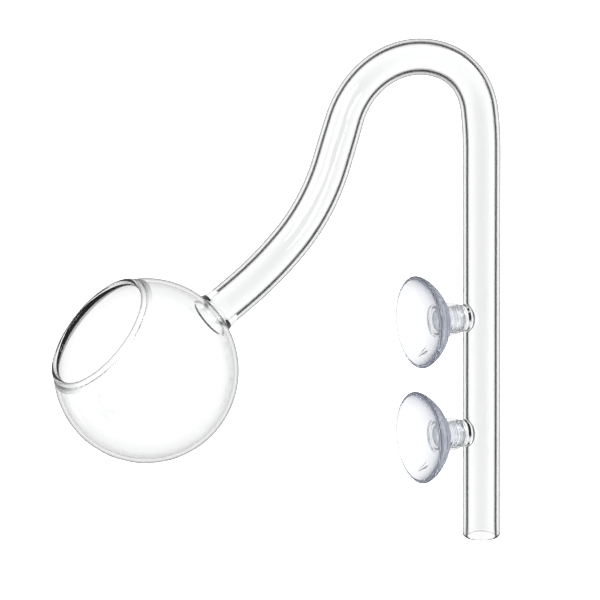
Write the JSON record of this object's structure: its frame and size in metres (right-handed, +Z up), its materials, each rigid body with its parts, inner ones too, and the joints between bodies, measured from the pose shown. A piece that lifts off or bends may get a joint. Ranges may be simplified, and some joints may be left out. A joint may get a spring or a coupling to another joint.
{
  "type": "aquarium outflow pipe",
  "caption": "Clear glass outflow pipe that hooks over a tank rim, with a bent tube, a round open-mouthed bowl and ribbed-plug suction cups that pull out and turn.",
  "frame": {"origin": "on the outer face of the tank wall that the suction cups grip, midway between the cups, in the plane the pipe is bent in", "axes": "+Z up along the straight leg, -X through the wall into the tank, Y across the tank wall"},
  "size_m": [0.1649, 0.0612, 0.1742],
  "materials": {
    "glass": "clear colourless borosilicate glass, flame worked and fire polished",
    "clear_vinyl": "clear soft vinyl with a faint blue cast, moulded smooth"
  },
  "bodies": {
    "glass_pipe": {"hose_leg": "glass", "rim_bend": "glass", "swan_neck": "glass", "bowl_collar": "glass", "outlet_bowl": "glass", "upper_cup_socket": "glass", "lower_cup_socket": "glass"},
    "upper_plug": {"upper_cup_plug": "clear_vinyl"},
    "upper_skirt": {"upper_cup_skirt": "clear_vinyl"},
    "lower_plug": {"lower_cup_plug": "clear_vinyl"},
    "lower_skirt": {"lower_cup_skirt": "clear_vinyl"}
  },
  "joints": [
    {"name": "upper_cup_pull", "type": "slide", "parent": "glass_pipe", "child": "upper_plug", "axis": [-1, 0, 0], "range_m": [0, 0.012]},
    {"name": "upper_cup_turn", "type": "hinge", "parent": "upper_plug", "child": "upper_skirt", "pos_m": [0, 0, 0.02], "axis": [-1, 0, 0], "continuous": true},
    {"name": "lower_cup_pull", "type": "slide", "parent": "glass_pipe", "child": "lower_plug", "axis": [-1, 0, 0], "range_m": [0, 0.012]},
    {"name": "lower_cup_turn", "type": "hinge", "parent": "lower_plug", "child": "lower_skirt", "pos_m": [0, 0, -0.02], "axis": [-1, 0, 0], "continuous": true}
  ]
}
